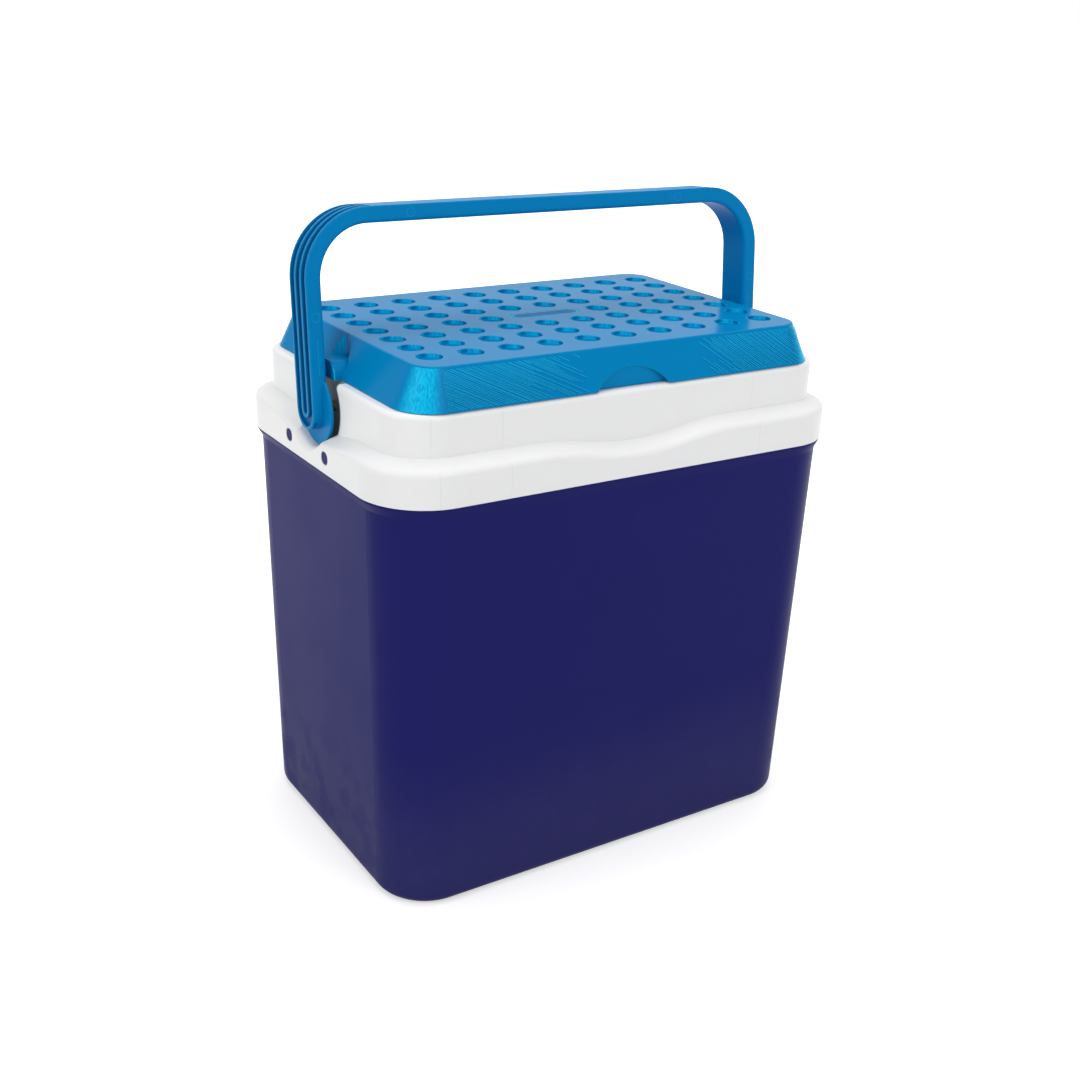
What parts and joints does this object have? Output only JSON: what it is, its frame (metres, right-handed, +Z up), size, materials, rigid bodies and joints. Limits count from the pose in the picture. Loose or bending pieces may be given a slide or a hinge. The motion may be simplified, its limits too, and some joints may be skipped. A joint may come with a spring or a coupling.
{
  "type": "cooler chest",
  "caption": "Hard insulated cooler chest with a tapered body, a rim collar, a dimpled lift-off lid and a swinging carry handle.",
  "frame": {"origin": "middle of the standing face on the floor", "axes": "+Z up, X along the chest's length through both handle pivots, -Y to the front (the side with the finger notch in the lid)"},
  "size_m": [0.39, 0.261, 0.4842],
  "materials": {
    "body_plastic": "satin",
    "collar_plastic": "satin",
    "liner_plastic": "satin",
    "handle_plastic": "gloss",
    "lid_plastic": "gloss",
    "lid_base_plastic": "satin",
    "foam": "matte",
    "pin_metal": "satin"
  },
  "bodies": {
    "chest": {"outer_shell": "body_plastic", "body_insulation": "foam", "inner_liner": "liner_plastic", "collar": "collar_plastic", "pivot_pin_left": "pin_metal", "pivot_pin_right": "pin_metal"},
    "handle": {"handle": "handle_plastic"},
    "lid": {"lid_cover": "lid_plastic", "lid_insulation": "foam", "lid_base": "lid_base_plastic"}
  },
  "joints": [
    {"name": "handle_pivot", "type": "hinge", "parent": "chest", "child": "handle", "pos_m": [0, 0, 0.348], "axis": [1, 0, 0], "range_deg": [-79, 89]},
    {"name": "lid_lift", "type": "slide", "parent": "chest", "child": "lid", "axis": [0, 0, 1], "range_m": [0, 0.06]}
  ]
}
